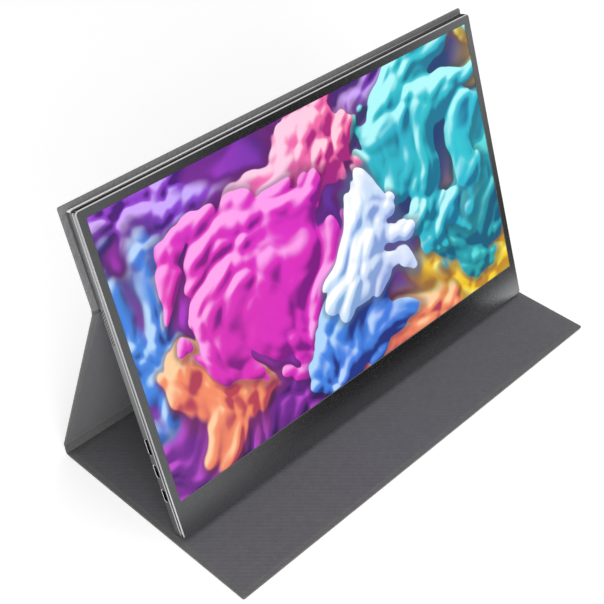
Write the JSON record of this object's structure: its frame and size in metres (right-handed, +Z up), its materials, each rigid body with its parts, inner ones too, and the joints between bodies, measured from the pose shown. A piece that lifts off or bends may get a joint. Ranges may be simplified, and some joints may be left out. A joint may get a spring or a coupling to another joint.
{
  "type": "portable monitor with folding cover",
  "caption": "Slim portable monitor in a metal casing, leaning on a hinged fabric cover that folds into a triangular stand.",
  "frame": {"origin": "middle of the cover's footprint, on the table", "axes": "+X along the screen width to the right of the viewer, +Y from the screen to the rear, +Z up"},
  "size_m": [0.3636, 0.1748, 0.216],
  "materials": {
    "casing_metal": "blasted, dark grey anodised, polished chamfers",
    "seam_rubber": "matte",
    "screen_glass": "satin, anti-glare",
    "black_tape": "matte",
    "white_film": "matte",
    "clear_acrylic": "clear",
    "led_strip": "matte",
    "sheet_metal": "plated",
    "circuit_board": "satin",
    "flex_film": "satin",
    "black_plastic": "satin",
    "lead_rubber": "matte",
    "light_lens": "frosted",
    "magnet_metal": "plated",
    "cover_fabric": "fine grey twill",
    "cover_lining": "fine grey twill",
    "cover_board": "matte"
  },
  "bodies": {
    "base": {"cover_base_fabric": "cover_fabric", "cover_base_board": "cover_board", "cover_base_lining": "cover_lining", "fold_strip_base": "cover_fabric", "base_magnets": "magnet_metal"},
    "spine": {"cover_spine": "cover_fabric"},
    "strut": {"cover_strut_fabric": "cover_fabric", "cover_strut_board": "cover_board", "cover_strut_lining": "cover_lining", "fold_strip_upper": "cover_fabric", "fold_strip_rear": "cover_fabric"},
    "monitor": {"front_bezel": "casing_metal", "bezel_gasket": "seam_rubber", "rear_shell": "casing_metal", "panel_tape": "black_tape", "lcd_cell": "screen_glass", "optical_films": "white_film", "light_guide": "clear_acrylic", "reflector_sheet": "white_film", "led_bar": "led_strip", "backlight_tray": "sheet_metal", "panel_driver_board": "circuit_board", "driver_films": "flex_film", "panel_flex": "flex_film", "main_board": "circuit_board", "main_board_chips": "black_plastic", "board_screws": "sheet_metal", "mini_hdmi_port": "sheet_metal", "mini_hdmi_tongue": "black_plastic", "usb_c_port_upper": "sheet_metal", "usb_c_port_lower": "sheet_metal", "usb_c_tongues": "black_plastic", "speaker_left": "black_plastic", "speaker_right": "black_plastic", "speaker_mesh_left": "sheet_metal", "speaker_mesh_right": "sheet_metal", "speaker_leads": "lead_rubber", "control_board": "circuit_board", "tact_switches": "sheet_metal", "headphone_jack": "black_plastic", "status_light": "light_lens", "control_flex": "flex_film", "magnet_plate": "sheet_metal", "cover_magnets": "magnet_metal", "cover_upper_fabric": "cover_fabric", "cover_upper_board": "cover_board", "cover_upper_lining": "cover_lining"},
    "power_button": {"power_button": "casing_metal"},
    "menu_rocker": {"menu_rocker": "casing_metal"}
  },
  "joints": [
    {"name": "spine_fold", "type": "hinge", "parent": "base", "child": "spine", "pos_m": [0, 0.08405, 0.0009], "axis": [1, 0, 0], "range_deg": [-55, 0]},
    {"name": "strut_fold", "type": "hinge", "parent": "spine", "child": "strut", "pos_m": [0, 0.08565, 0.0054], "axis": [1, 0, 0], "range_deg": [0, 66]},
    {"name": "monitor_fold", "type": "hinge", "parent": "strut", "child": "monitor", "pos_m": [0, 0.03826, 0.15222], "axis": [1, 0, 0], "range_deg": [-127.7, 0]},
    {"name": "power_press", "type": "slide", "parent": "monitor", "child": "power_button", "axis": [-1, 0, 0], "range_m": [0, 0.00045], "stiffness_N_per_m": 1500},
    {"name": "menu_rock", "type": "hinge", "parent": "monitor", "child": "menu_rocker", "pos_m": [0.1765, -0.0052, 0.05547], "axis": [0, 0.9336, -0.3584], "range_deg": [-3, 3], "stiffness_Nm_per_rad": 0.05}
  ],
  "couplings": [
    {"joint": "strut_fold", "follows": "monitor_fold", "ratio": -0.5168}
  ]
}
